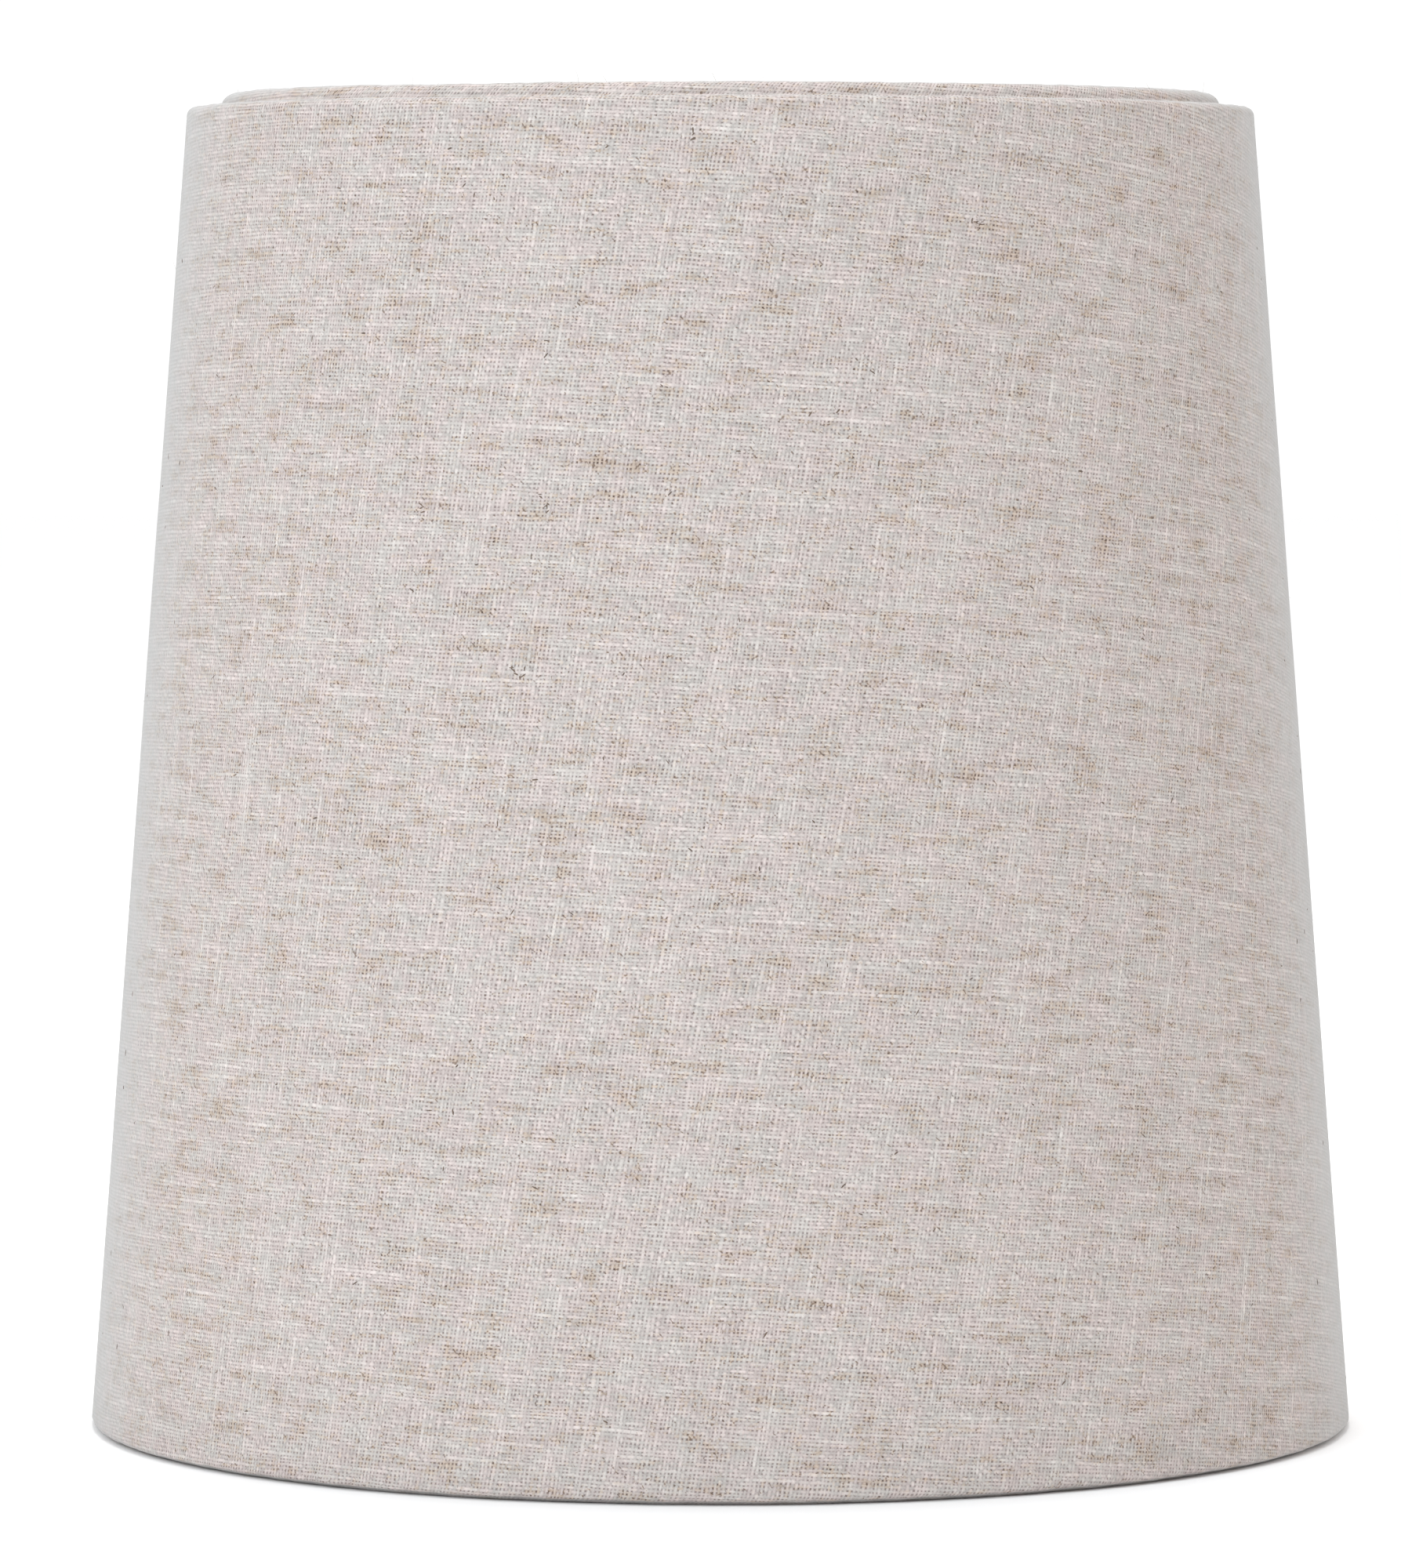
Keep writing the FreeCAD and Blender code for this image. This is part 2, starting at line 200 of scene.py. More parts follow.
def swept_sheet(line, steps, relief):
    """A sheet wound once round the shade from a section line, its end lapping over its start."""
    shape = bmesh.new()
    place = shape.verts.layers.int.new("place")
    verts = []
    for number, point in enumerate(line):
        vert = shape.verts.new((point.x, 0.0, point.y))
        vert[place] = number
        verts.append(vert)
    edges = [shape.edges.new(pair) for pair in zip(verts, verts[1:])]
    bmesh.ops.spin(shape, geom=verts + edges, cent=(0, 0, 0), axis=(0, 0, 1), dvec=(0, 0, 0),
                   angle=WHOLE_TURN, steps=steps, use_merge=False, use_duplicate=False)
    shape.verts.ensure_lookup_table()
    normals = line_normals(line)
    lengths = [0.0]
    for before, after in zip(line, line[1:]):
        lengths.append(lengths[-1] + (after - before).length)
    cut = [shape.verts.layers.float.new(axis) for axis in ("across", "down")]
    for number, vert in enumerate(shape.verts):
        turn = WHOLE_TURN * (number // len(line)) / steps
        azimuth = BACK + turn
        point, normal = line[vert[place]], normals[vert[place]]
        lift = lap_lift(turn) * smooth(0.3 * MM, 3 * MM, point.y) + relief(azimuth, point.y)
        out = point + normal * lift
        level = max(out.y, 0.0) if point.y >= 0 else out.y
        vert.co = (out.x * math.cos(azimuth), out.x * math.sin(azimuth), level)
        vert[cut[0]], vert[cut[1]] = turn, lengths[vert[place]]
    bmesh.ops.recalc_face_normals(shape, faces=shape.faces)
    shape.faces.ensure_lookup_table()
    middle = max(shape.faces, key=lambda face: face.calc_area())
    if middle.normal.dot(Vector((middle.calc_center_median().x, middle.calc_center_median().y, 0))) < 0:
        bmesh.ops.reverse_faces(shape, faces=shape.faces)
    return shape, cut, lengths


def pattern_map(shape, cut, foot_length, skew):
    """Lays each point out on the flat pattern that the sheet was cut to, in metres."""
    flat = shape.loops.layers.uv.new("cut_pattern")
    foot_reach = BOTTOM_RADIUS / CONE
    front_turn = math.radians(270) - BACK
    for face in shape.faces:
        for loop in face.loops:
            turn, length = loop.vert[cut[0]], loop.vert[cut[1]]
            reach = foot_reach - (foot_length - length)
            angle = (turn - front_turn) * CONE + skew(length) / reach
            loop[flat].uv = (reach * math.sin(angle), foot_reach - reach * math.cos(angle))


def finish_piece(name, shape, material, thickness=None):
    """Makes a piece of a shape, smooth shaded, and gives a sheet its thickness inwards."""
    mesh = bpy.data.meshes.new(name)
    for face in shape.faces:
        face.smooth = True
    shape.to_mesh(mesh)
    shape.free()
    piece = bpy.data.objects.new(name, mesh)
    bpy.context.scene.collection.objects.link(piece)
    mesh.materials.append(material)
    if thickness:
        wall_modifier = piece.modifiers.new("thickness", "SOLIDIFY")
        wall_modifier.thickness = thickness
        wall_modifier.offset = -1
    return piece


def make_cover(material):
    """The linen: wound on, laid out on its flat pattern, and slit where the spokes pass."""
    line = cover_line()
    shape, cut, lengths = swept_sheet(line, COVER_STEPS, cloth_relief)
    wall_top = max(number for number, point in enumerate(line)
                   if point.y > HEIGHT - 0.01 * MM and point.x > TOP_RING.x + ROLL)
    foot = max(number for number, point in enumerate(line)
               if point.y > FOOT_GAP + FOOT_CORNER and point.x > BOTTOM_RING.x + ROLL)
    shoulder_length, foot_length = lengths[wall_top], lengths[foot]

    def skew(length):
        """The turned-in cloth is dragged sideways as it is rolled over the rings."""
        top_drag = max(shoulder_length - 0.8 * MM - length, 0.0)
        foot_drag = max(length - foot_length, 0.0)
        return -0.55 * min(top_drag, 12 * MM) + 0.3 * min(foot_drag, 10 * MM)

    pattern_map(shape, cut, foot_length, skew)
    slit = [face for face in shape.faces if in_spoke_slit(face.calc_center_median())]
    bmesh.ops.delete(shape, geom=slit, context="FACES")
    return finish_piece("linen_sheet", shape, material, CLOTH)


def in_spoke_slit(point):
    """Whether a bit of the rolled top is cut away to let a spoke through."""
    if point.z < TOP_RING.y - ROLL or math.hypot(point.x, point.y) > TOP_RING.x - 0.6 * MM:
        return False
    for angle in SPOKE_ANGLES:
        along = Vector((math.cos(angle), math.sin(angle)))
        side = point.x * along.y - point.y * along.x
        if (abs(side) < SLIT_WIDTH / 2 and point.xy.dot(along) > 0
                and abs(point.z - TOP_RING.y) < SLIT_HEIGHT / 2):
            return True
    return False


def make_backing(material):
    """The white lining sheet behind the linen."""
    shape, cut, lengths = swept_sheet(backing_line(), BACKING_STEPS, lambda azimuth, level: 0.0)
    pattern_map(shape, cut, lengths[-1], lambda length: 0.0)
    return finish_piece("backing_sheet", shape, material, BOARD)


# ---------------------------------------------------------------- threads, nubs and welds

def on_wall(azimuth, level, inset=0.0):
    """A place on the face of the wall, and the directions outwards, along the weft and up the wall."""
    level_out = Vector((math.cos(azimuth), math.sin(azimuth), 0))
    outward = level_out * math.cos(LEAN) + Vector((0, 0, math.sin(LEAN)))
    along = Vector((-math.sin(azimuth), math.cos(azimuth), 0))
    radius = wall(level, inset)
    place = Vector((radius * math.cos(azimuth), radius * math.sin(azimuth), level))
    return place, outward, along, outward.cross(along)


def add_thread(shape, place, aim, curl, length, thickness):
    """A tapering length of thread that leaves a place along aim and bends over towards curl."""
    made = bmesh.ops.create_cone(shape, cap_ends=True, segments=5, depth=length,
                                 radius1=thickness, radius2=thickness / 2)
    sides = {edge for vert in made["verts"] for edge in vert.link_edges
             if abs(edge.verts[0].co.z - edge.verts[1].co.z) > length / 2}
    cut = bmesh.ops.subdivide_edges(shape, edges=list(sides), cuts=4)
    verts = {vert for part in cut["geom"] if isinstance(part, bmesh.types.BMEdge) for vert in part.verts}
    turn = Vector((0, 0, 1)).rotation_difference(aim.normalized()).to_matrix()
    for vert in verts:
        along = vert.co.z / length + 0.5
        vert.co = place + turn @ (vert.co + Vector((0, 0, length / 2))) + curl * along ** 2


def make_frays(material):
    """Loose yarn ends along the two raw edges turned in behind the rings."""
    shape = bmesh.new()
    draw = random.Random(5)
    for hem_level, sign in ((HEIGHT - HEM, -1), (HEM, 1)):
        for number in range(FRAYED_ENDS):
            azimuth = math.tau * (number + draw.uniform(-0.4, 0.4)) / FRAYED_ENDS
            place, outward, along, up = on_wall(azimuth, hem_level, SANDWICH - CLOTH / 2)
            aim = up * sign + along * draw.uniform(-0.5, 0.5) - outward * draw.uniform(0.0, 0.15)
            length = draw.uniform(0.6, 2.2) * MM
            curl = along * draw.uniform(-0.8, 0.8) * MM - outward * draw.uniform(-0.1, 0.5) * MM
            root = place - aim.normalized() * 0.3 * MM
            add_thread(shape, root, aim, curl, length, draw.uniform(0.06, 0.13) * MM)
    return finish_piece("frayed_ends", shape, material)


def make_fluff(material):
    """Fine stray fibres that stand off the face of the linen and off the rolled rim."""
    shape = bmesh.new()
    draw = random.Random(8)
    for number in range(STRAY_FIBRES):
        azimuth = draw.uniform(0, math.tau)
        place, outward, along, up = on_wall(azimuth, draw.uniform(0.01, 0.99) * HEIGHT)
        if number % 4 == 0:
            outward = Vector((math.cos(azimuth) * 0.4, math.sin(azimuth) * 0.4, 0.9))
            ring = TOP_RING.x + draw.uniform(-0.5, 0.9) * MM
            place = Vector((ring * math.cos(azimuth), ring * math.sin(azimuth), TOP_RING.y + ROLL * 0.93))
        aim = along * draw.uniform(-1, 1) + up * draw.uniform(-1, 1) + outward * draw.uniform(0.1, 0.5)
        curl = (along * draw.uniform(-1, 1) + up * draw.uniform(-1, 1)) * MM * 0.6 - outward * 0.15 * MM
        add_thread(shape, place, aim, curl, draw.uniform(0.7, 2.2) * MM, draw.uniform(0.012, 0.03) * MM)
    return finish_piece("stray_fibres", shape, material)


def make_nubs(material):
    """Bits of dark flax caught in the yarn: a few clusters, and single bits all over."""
    shape = bmesh.new()
    draw = random.Random(21)
    spots = [(draw.uniform(0, math.tau), draw.uniform(0.03, 0.97) * HEIGHT)
             for number in range(FLAX_NUBS)]
    for azimuth, level in NUB_CLUSTERS:
        for number in range(NUBS_IN_CLUSTER):
            spots.append((math.radians(azimuth) + draw.gauss(0, 0.8) * MM / BOTTOM_RADIUS,
                          level * MM + draw.gauss(0, 0.6) * MM))
    for azimuth, level in spots:
        place, outward, along, up = on_wall(azimuth, level, 0.02 * MM)
        slant = draw.choice((0.0, 0.7, -0.7, 1.5)) + draw.uniform(-0.25, 0.25)
        run_way = along * math.cos(slant) + up * math.sin(slant)
        made = bmesh.ops.create_icosphere(shape, subdivisions=1, radius=1.0)
        long, wide, tall = draw.uniform(0.20, 0.62) * MM, draw.uniform(0.08, 0.15) * MM, 0.09 * MM
        cross_way = outward.cross(run_way)
        for vert in made["verts"]:
            bend = 0.25 * wide * math.sin(3.0 * vert.co.x)
            vert.co = (place + run_way * vert.co.x * long + cross_way * (vert.co.y * wide + bend)
                       + outward * vert.co.z * tall)
    return finish_piece("flax_nubs", shape, material)


def add_weld(shape, place, size, draw):
    """A small lumpy bead of weld metal."""
    made = bmesh.ops.create_icosphere(shape, subdivisions=3, radius=1.0)
    seed = Vector((draw.uniform(0, 50), draw.uniform(0, 50), 0))
    for vert in made["verts"]:
        lump = 1 + 0.18 * noise.noise(vert.co * 1.4 + seed)
        vert.co = place + Vector([vert.co[axis] * size[axis] * lump for axis in range(3)])


def make_welds(material):
    """Beads where each spoke meets the top ring and lies down on the fitter."""
    shape = bmesh.new()
    draw = random.Random(3)
    thickness = (spoke_high.x - spoke_low.x) / 2
    reach_in = spoke_low.y + 2.5 * MM
    for angle in SPOKE_ANGLES:
        way = Vector((math.cos(angle), math.sin(angle), 0))
        for side in (-1, 1):
            beside = Vector((-way.y, way.x, 0)) * side * thickness * 0.9
            ring_place = way * (TOP_RING.x - WIRE * 0.9) + beside + Vector((0, 0, TOP_RING.y))
            add_weld(shape, ring_place, (0.9 * MM, 0.9 * MM, 0.8 * MM), draw)
            plate_place = way * (reach_in + 1.2 * MM) + beside + Vector((0, 0, fitter_high.z + 0.1 * MM))
            add_weld(shape, plate_place, (1.5 * MM, 1.5 * MM, 0.55 * MM), draw)
    return finish_piece("weld_beads", shape, material)


# ---------------------------------------------------------------- shader building

class Signal:
    """One output inside a node tree, with arithmetic that adds Math nodes."""

    def __init__(self, tree, socket):
        self.tree = tree
        self.socket = socket

    def math(self, operation, *others):
        node = self.tree.nodes.new("ShaderNodeMath")
        node.operation = operation
        for slot, value in zip(node.inputs, (self,) + others):
            connect(self.tree, value, slot)
        return Signal(self.tree, node.outputs[0])

    def __add__(self, other):
        return self.math("ADD", other)

    def __sub__(self, other):
        return self.math("SUBTRACT", other)

    def __mul__(self, other):
        return self.math("MULTIPLY", other)

    def __truediv__(self, other):
        return self.math("DIVIDE", other)

    def ramp(self, low, high, start=0.0, end=1.0):
        """Eases from start to end as the signal goes from low to high."""
        node = self.tree.nodes.new("ShaderNodeMapRange")
        node.interpolation_type = "SMOOTHSTEP"
        for slot, value in zip(node.inputs, (self, low, high, start, end)):
            connect(self.tree, value, slot)
        return Signal(self.tree, node.outputs[0])


def connect(tree, value, slot):
    """Feeds a socket from a signal, or sets it to a constant."""
    if isinstance(value, Signal):
        tree.links.new(value.socket, slot)
    else:
        slot.default_value = value


def combine(tree, x, y, z=0.0):
    node = tree.nodes.new("ShaderNodeCombineXYZ")
    for slot, value in zip(node.inputs, (x, y, z)):
        connect(tree, value, slot)
    return Signal(tree, node.outputs[0])


def cloud(tree, vector, scale=1.0, detail=0.0, roughness=0.5, dimensions="2D"):
    """Soft noise between 0 and 1, centred on a half."""
    node = tree.nodes.new("ShaderNodeTexNoise")
    node.noise_dimensions = dimensions
    connect(tree, vector, node.inputs["Vector"])
    connect(tree, scale, node.inputs["Scale"])
    node.inputs["Detail"].default_value = detail
    node.inputs["Roughness"].default_value = roughness
    return Signal(tree, node.outputs["Fac"])


def chance(tree, x, y):
    """A random value from 0 to 1 for each pair of whole numbers."""
    node = tree.nodes.new("ShaderNodeTexWhiteNoise")
    node.noise_dimensions = "2D"
    connect(tree, combine(tree, x, y), node.inputs["Vector"])
    return Signal(tree, node.outputs["Value"])


def blend(tree, factor, first, second, mode="MIX"):
    """Mixes two colours."""
    node = tree.nodes.new("ShaderNodeMix")
    node.data_type = "RGBA"
    node.blend_type = mode
    connect(tree, factor, node.inputs[0])
    for slot, value in ((node.inputs[6], first), (node.inputs[7], second)):
        connect(tree, value if isinstance(value, Signal) else (*value, 1.0), slot)
    return Signal(tree, node.outputs[2])


def new_group(name, inputs, outputs):
    """An empty node group: inputs are given as (name, kind, default), outputs as (name, kind)."""
    group = bpy.data.node_groups.new(name, "ShaderNodeTree")
    for label, kind, default in inputs:
        socket = group.interface.new_socket(label, in_out="INPUT", socket_type=f"NodeSocket{kind}")
        socket.default_value = default
    for label, kind in outputs:
        group.interface.new_socket(label, in_out="OUTPUT", socket_type=f"NodeSocket{kind}")
    entry = group.nodes.new("NodeGroupInput")
    exit_node = group.nodes.new("NodeGroupOutput")
    signals = {socket.name: Signal(group, socket) for socket in entry.outputs if socket.name}
    return group, signals, exit_node


def placed_group(tree, group, **values):
    """Places a group in a tree with its own input values, and gives its outputs by name."""
    node = tree.nodes.new("ShaderNodeGroup")
    node.node_tree = group
    for label, value in values.items():
        connect(tree, value, node.inputs[label.replace("_", " ")])
    return {socket.name: Signal(tree, socket) for socket in node.outputs}


def new_material(name):
    material = bpy.data.materials.new(name)
    material.use_nodes = True
    tree = material.node_tree
    return material, tree, tree.nodes["Principled BSDF"]


# ---------------------------------------------------------------- the weave

WARP_LEAN = math.radians(9.4)
WEFT_FALL = math.radians(3.4)
WARP_SEED = 3.1
WEFT_SEED = 17.9
GREY_FLAX = (0.476, 0.446, 0.423)
ROSY_FLAX = (0.496, 0.433, 0.416)
PALE_FLAX = (0.550, 0.518, 0.491)
TAN_FLAX = (0.385, 0.296, 0.220)
DARK_STREAK = (0.235, 0.174, 0.131)
BARK_FLECK = (0.150, 0.104, 0.076)
# Pale grey for the painted sheen where the linen is seen edge-on.
EDGE_SHEEN_GREY = (0.455, 0.455, 0.45)


def yarn_tones(tree, number, along, seed):
    """How one yarn changes along its length: slowly, in dashes, and together with its neighbours."""
    lane = number * 1.37 + seed
    return {
        "slow": cloud(tree, combine(tree, lane, along * 0.045), detail=1.0) - 0.5,
        "dash": cloud(tree, combine(tree, lane + 57.0, along * 0.42), detail=1.0) - 0.5,
        "bundle": cloud(tree, combine(tree, number * 0.33 + seed + 91.0, along * 0.19), detail=2.0) - 0.5,
    }


def yarn_shape(part, tones, usual, swell):
    """Covering and roundness of a yarn across its own lane."""
    half = (tones["slow"] * 0.30 + tones["dash"] * 0.20) * swell + usual
    half = half.math("MAXIMUM", 0.22).math("MINIMUM", 0.46)
    away = part.math("ABSOLUTE")
    cover = (away - half).ramp(0.30, -0.26)
    rise = (away / (half + 0.10)).math("POWER", 2.0)
    return cover, (rise * -1.0 + 1.0).math("MAXIMUM", 0.0) * (half + 0.35)


def crossing_yarns(group, cloth, warp_pitch, weft_pitch):
    """Warp and weft in plain weave, from a place on the cloth in millimetres.

    Says where each yarn runs, which of the two is on top, how high they stand and what they cover.
    """
    split = group.nodes.new("ShaderNodeSeparateXYZ")
    connect(group, cloth, split.inputs[0])
    x, y = (Signal(group, split.outputs[index]) for index in (0, 1))
    across = x * math.cos(WARP_LEAN) - y * math.sin(WARP_LEAN)
    upward = x * math.sin(WEFT_FALL) + y * math.cos(WEFT_FALL)

    # Both sets of yarns wander slowly, and shake a little together.
    warp_wander = cloud(group, combine(group, across * 0.2, upward * 0.03), detail=2.0) * 1.1
    weft_wander = cloud(group, combine(group, across * 0.03 + 31.0, upward * 0.2), detail=2.0) * 1.1
    shake = cloud(group, combine(group, across * 0.5 + 9.0, upward * 0.5), detail=1.0) * 0.16
    warp_place = (across + warp_wander + shake) / warp_pitch
    weft_place = (upward + weft_wander + shake) / weft_pitch
    warp_number = warp_place.math("FLOOR")
    weft_number = weft_place.math("FLOOR")
    warp_part = warp_place - warp_number - 0.5
    weft_part = weft_place - weft_number - 0.5
    warp = yarn_tones(group, warp_number, upward, WARP_SEED)
    weft = yarn_tones(group, weft_number, across, WEFT_SEED)
    warp_cover, warp_round = yarn_shape(warp_part, warp, 0.322, 0.8)
    weft_cover, weft_round = yarn_shape(weft_part, weft, 0.312, 1.0)

    turn = (warp_number + weft_number).math("FLOORED_MODULO", 2.0) * -2.0 + 1.0
    crimp = (warp_part * math.pi).math("COSINE") * (weft_part * math.pi).math("COSINE") * turn
    warp_slub = warp["slow"].ramp(0.19, 0.27)
    weft_slub = weft["slow"].ramp(0.18, 0.26)
    warp_height = warp_round + crimp * 0.15 + warp_slub * 0.12
    weft_height = weft_round - crimp * 0.16 + weft_slub * 0.12
    warp_lead = warp_height - weft_height
    return SimpleNamespace(
        across=across, upward=upward, warp=warp, weft=weft, weft_cover=weft_cover,
        warp_on_top=warp_lead.ramp(-0.10, 0.10),
        # Where the yarns dive under each other; used for painted shade in those creases.
        diving_shade=warp_lead.math("ABSOLUTE").ramp(0.0, 0.15, 1.0, 0.0),
        height=warp_height.math("SMOOTH_MAX", weft_height, 0.10),
        covered=warp_cover.math("MAXIMUM", weft_cover),
        slub=(warp_slub * warp_cover).math("MAXIMUM", weft_slub * weft_cover),
        crossing_luck=chance(group, warp_number, weft_number) - 0.5,
        pore_luck=chance(group, (warp_place + 0.5).math("FLOOR"), (weft_place + 0.5).math("FLOOR")))


def flax_patches(group, yarns):
    """Uneven places in the flax: single fibres, specks, tan streaks, wide patches and a change of tint."""
    across, upward = yarns.across, yarns.upward
    twist_across = across * 0.64 + upward * 0.77
    twist_along = across * 0.77 - upward * 0.64

    def spread(x, y, detail, roughness=0.5):
        return cloud(group, combine(group, x, y), detail=detail, roughness=roughness) - 0.5

    return SimpleNamespace(
        fibre=spread(twist_across * 4.5, twist_along * 1.5, 2.0),
        speck=spread(twist_across * 2.4 + 33.0, twist_along * 1.4, 0.0),
        zone=spread(across * 0.11, upward * 0.40, 5.0, 0.72),
        patch=spread(across * 0.035 + 12.0, upward * 0.045, 2.0),
        tint=spread(across * 0.22 + 140.0, upward * 0.26, 4.0, 0.62),
        check=spread(across * 0.3 + 60.0, upward * 0.3, 1.0))


def weave_group():
    """Plain-woven linen: yarn heights, pores, slubs and the mixed tones of undyed flax, with painted shade
    in the pores and where the yarns dive, and painted highlights on the yarn tops.
    """
    group, given, exit_node = new_group(
        "linen weave",
        [("Cloth", "Vector", (0, 0, 0)), ("Warp Pitch", "Float", 0.622), ("Weft Pitch", "Float", 0.590),
         ("Pore Shade", "Float", 0.40), ("Tan Yarn", "Float", 0.62), ("Check", "Float", 0.05)],
        [("Color", "Color"), ("Height", "Float"), ("Roughness", "Float")])
    yarns = crossing_yarns(group, given["Cloth"], given["Warp Pitch"], given["Weft Pitch"])
    flax = flax_patches(group, yarns)
    weft_on_top = yarns.warp_on_top * -1.0 + 1.0

    def on_top(key, warp_share=1.0, weft_share=1.0):
        warp_part = yarns.warp[key] * yarns.warp_on_top * warp_share
        return warp_part + yarns.weft[key] * weft_on_top * weft_share

    tint = (flax.tint * 0.8 + on_top("bundle") * 0.4).ramp(-0.13, 0.13)
    colour = blend(group, tint, ROSY_FLAX, GREY_FLAX)
    tan_yarn = on_top("bundle") * 0.35 + on_top("dash") * 0.34 + yarns.crossing_luck * 0.07
    tan = (flax.zone * 0.70 + flax.patch * 0.12 + tan_yarn).ramp(0.0, 0.20)
    colour = blend(group, tan * given["Tan Yarn"], colour, TAN_FLAX)
    colour = blend(group, yarns.slub * 0.23, colour, PALE_FLAX)
    streak = (flax.fibre * 0.55 + on_top("dash", 0.35, 0.55) + flax.zone * 0.45).ramp(0.13, 0.27)
    colour = blend(group, streak * 0.45, colour, DARK_STREAK)
    fleck = (flax.speck * 0.75 + flax.zone * 0.35 + on_top("dash") * 0.25).ramp(0.23, 0.30)
    colour = blend(group, fleck * 0.75, colour, BARK_FLECK)

    check = flax.check.ramp(-0.20, 0.20, -1.0, 1.0)
    check = (yarns.warp_on_top - 0.5) * check * given["Check"] * 2.0
    tone = on_top("slow", 0.14, 0.16) + on_top("dash", 0.30, 0.34).math("MINIMUM", 0.04)
    tone = tone + flax.fibre * 0.28 + yarns.crossing_luck * 0.23 + check + 1.0
    # Painted highlight and shade: yarn tops lighter in colour the higher they stand, and the rows between
    # the wefts darker.
    yarn_highlight_and_gap_shade = (yarns.height - 0.6) * 0.16 + yarns.weft_cover * 0.03 + 0.98
    luck = yarns.pore_luck.ramp(0.0, 1.0, 0.35, 1.65)
    # Painted shade: the open pores between the yarns are darkened in colour, more deeply in tan patches,
    # and the shade is tinted warm.
    pore_shade = (yarns.covered * -1.0 + 1.0) * given["Pore Shade"] * luck * (tan * 0.7 + 1.0)
    # Random tone times painted highlight and shade: pores, gaps between wefts and the creases where yarns
    # dive are darkened.
    light = tone * yarn_highlight_and_gap_shade * (pore_shade * -1.0 + 1.0) * (yarns.diving_shade * -0.05 + 1.02)
    pore_shade_tint = pore_shade * -0.16 + 1.0
    colour = blend(group, 1.0, colour, combine(group, light, light * pore_shade_tint, light * pore_shade_tint), "MULTIPLY")

    connect(group, colour, exit_node.inputs["Color"])
    connect(group, yarns.height * 0.6 + flax.fibre * 0.12, exit_node.inputs["Height"])
    connect(group, flax.fibre.ramp(-0.3, 0.3, 0.82, 0.98), exit_node.inputs["Roughness"])
    return group


def pattern_coordinates(tree):
    """The flat pattern's coordinates, in millimetres."""
    lay = tree.nodes.new("ShaderNodeUVMap")
    lay.uv_map = "cut_pattern"
    grow = tree.nodes.new("ShaderNodeVectorMath")
    grow.operation = "SCALE"
    tree.links.new(lay.outputs[0], grow.inputs[0])
    grow.inputs["Scale"].default_value = 1 / MM
    return Signal(tree, grow.outputs[0])


def bumped(tree, shader, height, distance):
    """Raises a shader's surface by a height signal, over a distance in metres."""
    bump = tree.nodes.new("ShaderNodeBump")
    bump.inputs["Distance"].default_value = distance
    connect(tree, height, bump.inputs["Height"])
    tree.links.new(bump.outputs[0], shader.inputs["Normal"])


def linen_material(weave):
    """The linen's weave, with a painted sheen: pale grey mixed into its colour where it is seen edge-on,
    standing in for light caught by fibre ends.
    """
    material, tree, shader = new_material("linen")
    cloth = placed_group(tree, weave, Cloth=pattern_coordinates(tree))
    # Painted sheen: the colour turns pale grey where the linen is seen edge-on.
    glance = tree.nodes.new("ShaderNodeLayerWeight")
    glance.inputs["Blend"].default_value = 0.5
    painted_sheen = Signal(tree, glance.outputs["Facing"]).ramp(0.52, 1.0, 0.0, 0.85)
    connect(tree, blend(tree, painted_sheen, cloth["Color"], EDGE_SHEEN_GREY), shader.inputs["Base Color"])
    connect(tree, cloth["Roughness"], shader.inputs["Roughness"])
    shader.inputs["Specular IOR Level"].default_value = 0.15
    bumped(tree, shader, cloth["Height"], 0.09 * MM)
    return material


def board_material(weave):
    """Satin white lining sheet, with the linen's weave pressed faintly through it."""
    material, tree, shader = new_material("white board")
    lay = pattern_coordinates(tree)
    cloth = placed_group(tree, weave, Cloth=lay)
    smudge = cloud(tree, lay, scale=0.05, detail=5.0, roughness=0.6)
    speckle = cloud(tree, lay, scale=6.0, detail=2.0)
    tone = smudge * 0.6 + speckle * 0.4
    connect(tree, blend(tree, tone.ramp(0.3, 0.7), (0.76, 0.755, 0.735), (0.81, 0.805, 0.785)),
            shader.inputs["Base Color"])
    connect(tree, smudge.ramp(0.3, 0.7, 0.38, 0.52), shader.inputs["Roughness"])
    bumped(tree, shader, cloth["Height"] * 0.5 + speckle, 0.03 * MM)
    return material


def grain_group():
    """Fine grain under a faint, cloudy dirt, for the plain finishes."""
    group, given, exit_node = new_group(
        "grain and dirt",
        [("Place", "Vector", (0, 0, 0)), ("Color", "Color", (0.8, 0.8, 0.8, 1)), ("Mottle", "Float", 0.1),
         ("Roughness", "Float", 0.5), ("Grain Scale", "Float", 1000.0)],
        [("Color", "Color"), ("Roughness", "Float"), ("Height", "Float")])
    grain = cloud(group, given["Place"], detail=3.0, dimensions="3D", scale=given["Grain Scale"])
    dirt = cloud(group, given["Place"], scale=60.0, detail=4.0, dimensions="3D")
    shade = dirt.ramp(0.3, 0.7, -1.0, 0.0) * given["Mottle"] + 1.0
    colour = blend(group, 1.0, given["Color"], combine(group, shade, shade, shade), "MULTIPLY")
    connect(group, colour, exit_node.inputs["Color"])
    rough = given["Roughness"] + grain.ramp(0.25, 0.75, -0.07, 0.07)
    connect(group, rough, exit_node.inputs["Roughness"])
    connect(group, grain, exit_node.inputs["Height"])
    return group


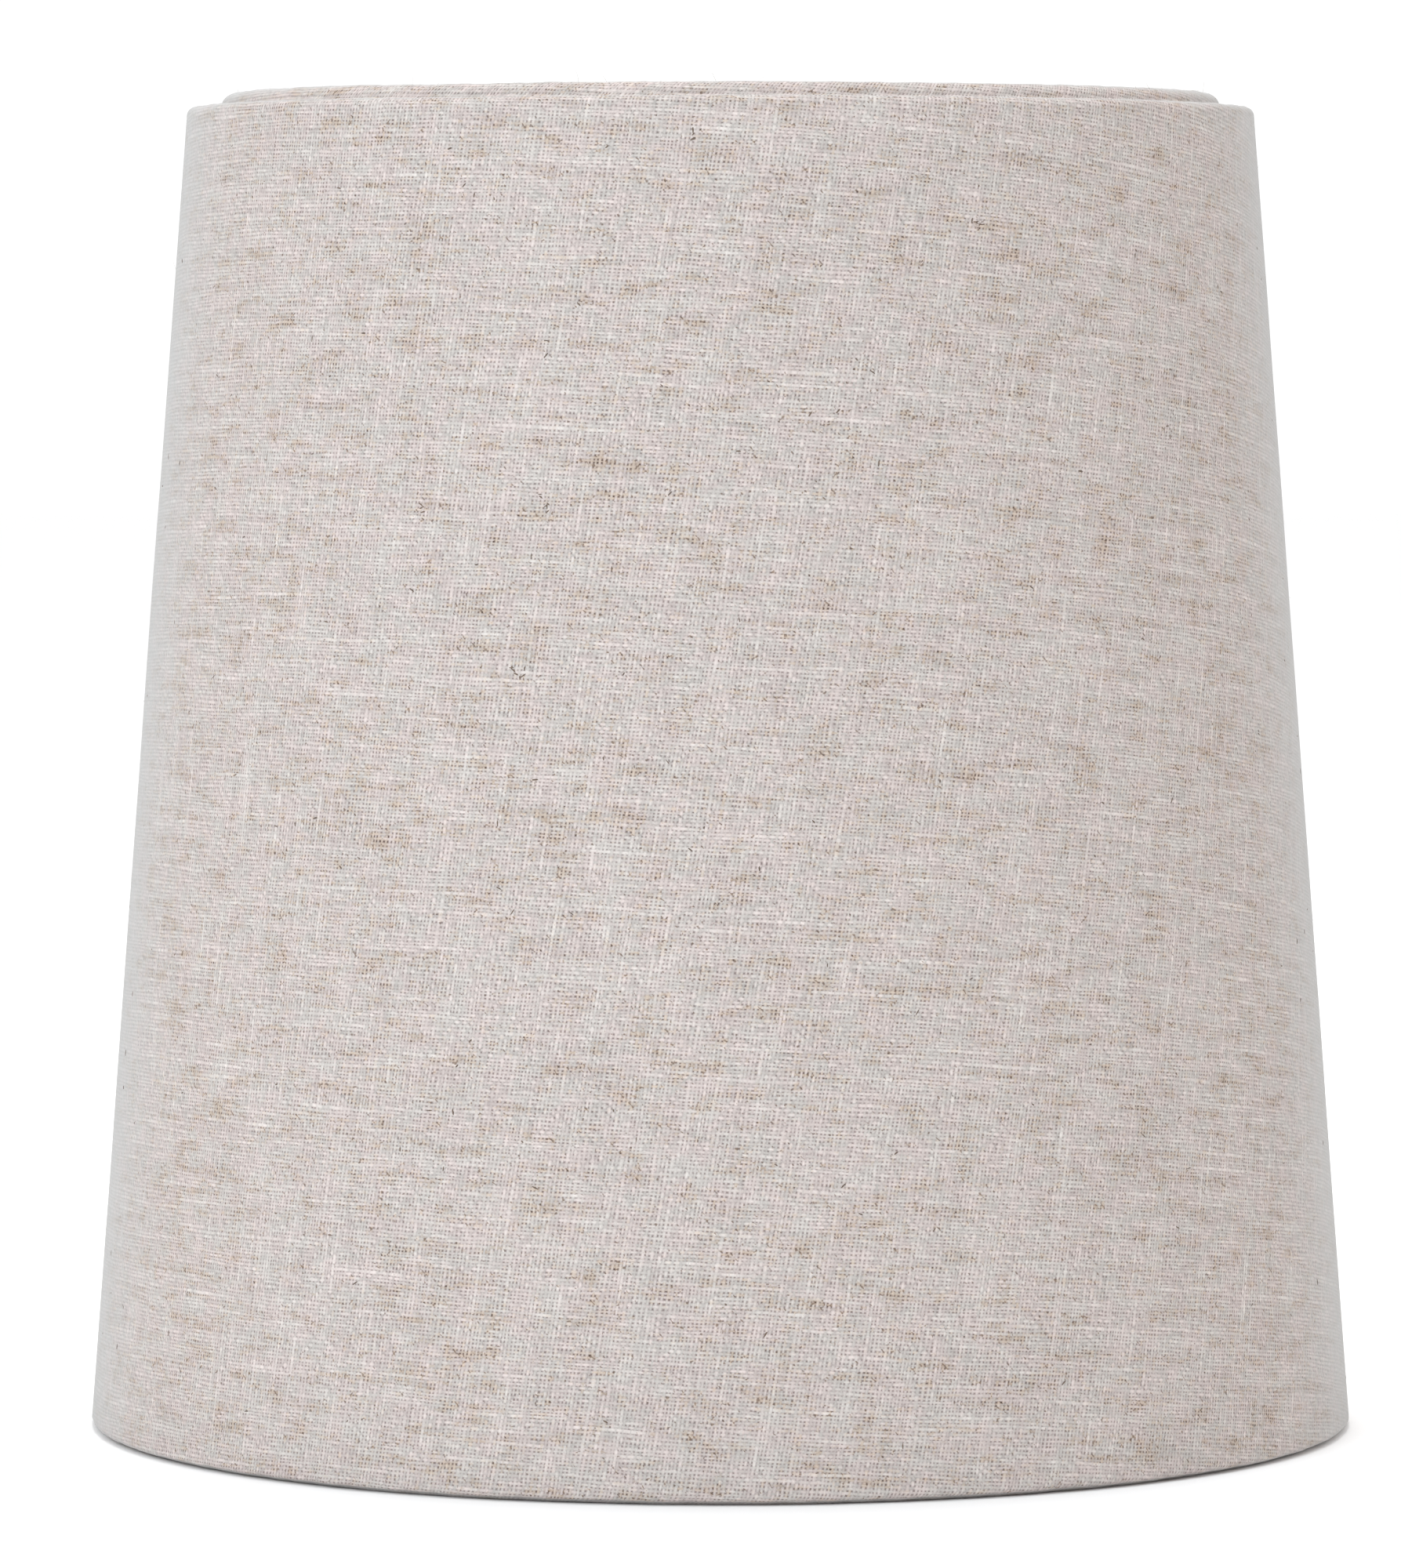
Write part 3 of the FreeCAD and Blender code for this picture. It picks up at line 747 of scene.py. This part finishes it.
def plain_material(name, grain, colour, roughness, grain_scale, grain_depth, mottle=0.10):
    """Painted steel, plastic sheet or tape: a base colour that varies a little, over a fine grain."""
    material, tree, shader = new_material(name)
    place = tree.nodes.new("ShaderNodeTexCoord")
    finish = placed_group(tree, grain, Place=Signal(tree, place.outputs["Object"]), Color=(*colour, 1.0),
                          Mottle=mottle, Roughness=roughness, Grain_Scale=grain_scale)
    connect(tree, finish["Color"], shader.inputs["Base Color"])
    connect(tree, finish["Roughness"], shader.inputs["Roughness"])
    bumped(tree, shader, finish["Height"], grain_depth)
    return material


# ---------------------------------------------------------------- pieces

weave = weave_group()
grain = grain_group()
linen = linen_material(weave)
fibre = plain_material("flax fibre", grain, (0.58, 0.55, 0.50), 0.8, 3000.0, 0.01 * MM, 0.24)
bark = plain_material("flax bark", grain, (0.16, 0.115, 0.085), 0.8, 4000.0, 0.03 * MM, 0.4)
white_board = board_material(weave)
white_paint = plain_material("white powder coat", grain, (0.80, 0.80, 0.78), 0.35, 1500.0, 0.03 * MM)
clear_tape = plain_material("adhesive tape", grain, (0.70, 0.66, 0.56), 0.30, 700.0, 0.01 * MM)

cover = make_cover(linen)
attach(cover, "root")
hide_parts("linen_cover")

backing = make_backing(white_board)
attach(backing, "root")
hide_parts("backing")

trimmings = (make_frays(fibre), make_fluff(fibre), make_nubs(bark))
for piece in trimmings:
    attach(piece, "root")
welds = make_welds(white_paint)
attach(welds, "root")

painted = ("top_ring", "bottom_ring", "spoke_1", "spoke_2", "spoke_3", "fitter_ring")
taped = ("top_ring_tape", "bottom_ring_tape", "seam_tape")
for node_names, finish in ((painted, white_paint), (taped, clear_tape)):
    for node_name in node_names:
        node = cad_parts[node_name]
        node.data.materials.clear()
        node.data.materials.append(finish)

# ---------------------------------------------------------------- floor, light and camera


FLOOR_REACH = 6.0
FLOOR_WHITE = (0.93, 0.93, 0.93, 1.0)
SKY_WHITE = (1.0, 1.0, 1.0, 1.0)
SKY_STRENGTH = 1.07
LIT_PLACE = (0, 0, 0.1)
CAMERA_PLACE = (0.0, -1.35, 0.1768)
CAMERA_LENS = 195.5
LOOK_DOWN = math.radians(3.197)
LOOK_ASIDE = math.radians(0.134)


def make_floor():
    """A matt white studio floor."""
    shape = bmesh.new()
    bmesh.ops.create_grid(shape, x_segments=1, y_segments=1, size=FLOOR_REACH)
    mesh = bpy.data.meshes.new("floor")
    shape.to_mesh(mesh)
    shape.free()
    floor = bpy.data.objects.new("floor", mesh)
    bpy.context.scene.collection.objects.link(floor)
    material, _, shader = new_material("white floor")
    shader.inputs["Base Color"].default_value = FLOOR_WHITE
    shader.inputs["Roughness"].default_value = 0.8
    shader.inputs["Specular IOR Level"].default_value = 0.1
    mesh.materials.append(material)


def white_sky():
    """Even white light from all sides."""
    world = bpy.data.worlds.new("studio")
    world.use_nodes = True
    sky = world.node_tree.nodes["Background"]
    sky.inputs["Color"].default_value = SKY_WHITE
    sky.inputs["Strength"].default_value = SKY_STRENGTH
    bpy.context.scene.world = world


def area_light(name, place, size, power, colour):
    """A round soft light, aimed at the middle of the shade."""
    light = bpy.data.lights.new(name, "AREA")
    light.shape = "DISK"
    light.size = size
    light.energy = power
    light.color = colour
    lamp = bpy.data.objects.new(name, light)
    lamp.location = place
    lamp.rotation_euler = (Vector(LIT_PLACE) - Vector(place)).to_track_quat("-Z", "Y").to_euler()
    bpy.context.scene.collection.objects.link(lamp)


def make_camera():
    """A long lens in front of the shade, a little above its middle."""
    lens = bpy.data.cameras.new("camera")
    lens.lens = CAMERA_LENS
    lens.clip_end = 50
    camera = bpy.data.objects.new("camera", lens)
    camera.location = CAMERA_PLACE
    camera.rotation_euler = (math.radians(90) - LOOK_DOWN, 0.0, LOOK_ASIDE)
    bpy.context.scene.collection.objects.link(camera)
    bpy.context.scene.camera = camera


make_floor()
white_sky()
area_light("window", (-1.25, -1.9, 1.15), 1.2, 22.0, (0.81, 0.92, 1.0))
area_light("overhead", (0.0, 0.22, 1.8), 0.4, 12.0, (1.0, 1.0, 1.0))
make_camera()
bpy.context.scene.view_settings.view_transform = "Standard"
